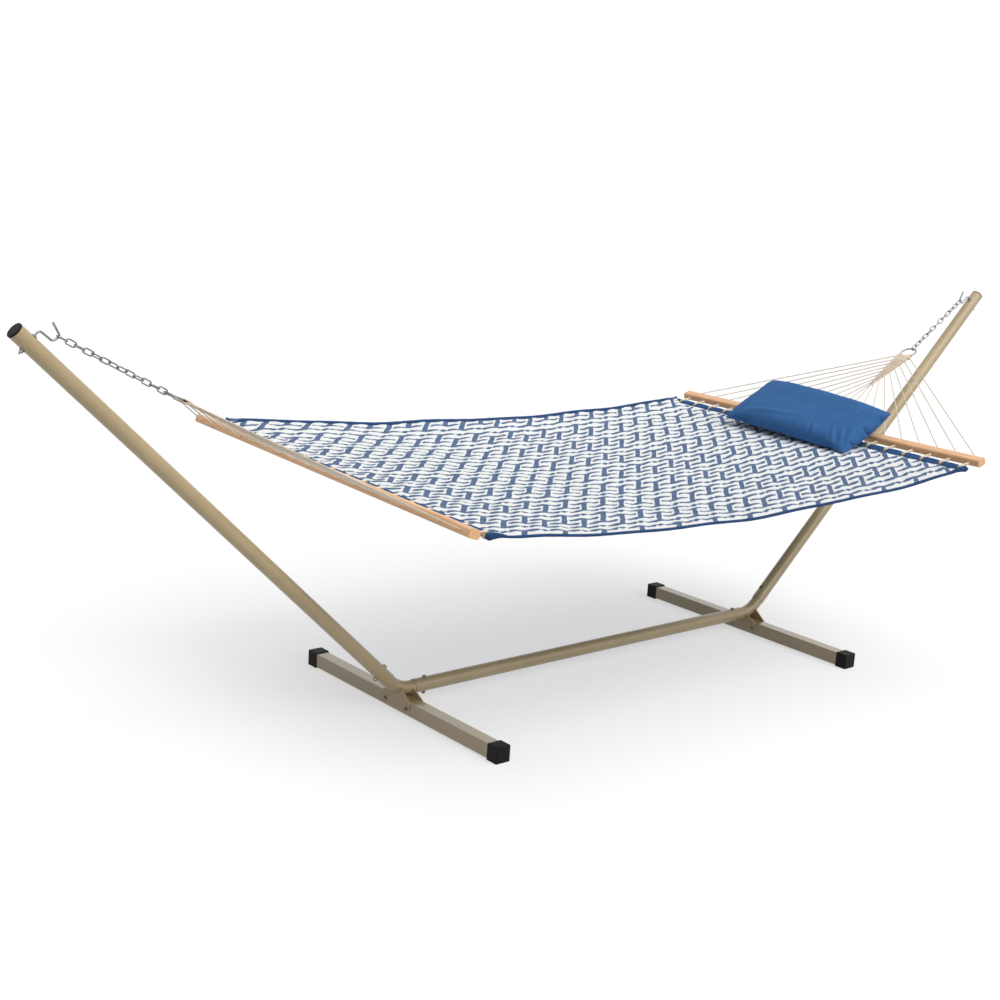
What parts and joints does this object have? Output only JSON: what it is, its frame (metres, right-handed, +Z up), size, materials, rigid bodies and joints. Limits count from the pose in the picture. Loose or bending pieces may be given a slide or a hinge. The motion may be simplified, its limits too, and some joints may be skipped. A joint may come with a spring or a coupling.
{
  "type": "hammock on stand",
  "caption": "Quilted hammock with wooden spreader bars, hung by chains from the hooks of a free-standing bent tube steel stand, with a loose pillow.",
  "frame": {"origin": "on the floor under the middle of the stand", "axes": "+X along the stand to the pillow end, +Y across it, +Z up"},
  "size_m": [4.5454, 1.5454, 1.3788],
  "materials": {
    "coated_steel": "satin tan powder coat",
    "black_plastic": "matt moulded",
    "zinc_steel": "bright zinc plated",
    "bar_wood": "light oiled hardwood",
    "dowel_wood": "plain hardwood",
    "rope": "cream laid polyester rope",
    "bed_cloth": "quilted cloth, off-white with a blue fret print on top and plain blue below",
    "edge_cloth": "plain blue woven tape",
    "pillow_cloth": "plain blue woven cloth"
  },
  "bodies": {
    "stand": {"left_foot_tube": "coated_steel", "left_near_foot_cap": "black_plastic", "left_far_foot_cap": "black_plastic", "left_elbow": "coated_steel", "left_saddle_plates": "coated_steel", "left_arm_tube": "coated_steel", "left_arm_plug": "black_plastic", "left_frame_bolts": "zinc_steel", "left_frame_nuts": "zinc_steel", "left_hook": "zinc_steel", "left_hook_washers": "zinc_steel", "left_hook_nut": "zinc_steel", "right_foot_tube": "coated_steel", "right_near_foot_cap": "black_plastic", "right_far_foot_cap": "black_plastic", "right_elbow": "coated_steel", "right_saddle_plates": "coated_steel", "right_arm_tube": "coated_steel", "right_arm_plug": "black_plastic", "right_frame_bolts": "zinc_steel", "right_frame_nuts": "zinc_steel", "right_hook": "zinc_steel", "right_hook_washers": "zinc_steel", "right_hook_nut": "zinc_steel", "centre_tube": "coated_steel"},
    "hammock": {"foot_chain": "zinc_steel", "foot_ring": "zinc_steel", "foot_clew": "rope", "foot_cords": "rope", "foot_spreader_bar": "bar_wood", "foot_lacing_loops": "rope", "foot_dowel": "dowel_wood", "head_chain": "zinc_steel", "head_ring": "zinc_steel", "head_clew": "rope", "head_cords": "rope", "head_spreader_bar": "bar_wood", "head_lacing_loops": "rope", "head_dowel": "dowel_wood", "bed": "bed_cloth", "near_edge_binding": "edge_cloth", "far_edge_binding": "edge_cloth"},
    "pillow": {"pillow": "pillow_cloth"}
  },
  "joints": [
    {"name": "hammock_swing", "type": "hinge", "parent": "stand", "child": "hammock", "pos_m": [0, 0, 1.3368], "axis": [1, 0, 0], "range_deg": [-30, 30]},
    {"name": "pillow_lift", "type": "slide", "parent": "hammock", "child": "pillow", "axis": [0, 0, 1], "range_m": [0, 0.4]}
  ]
}
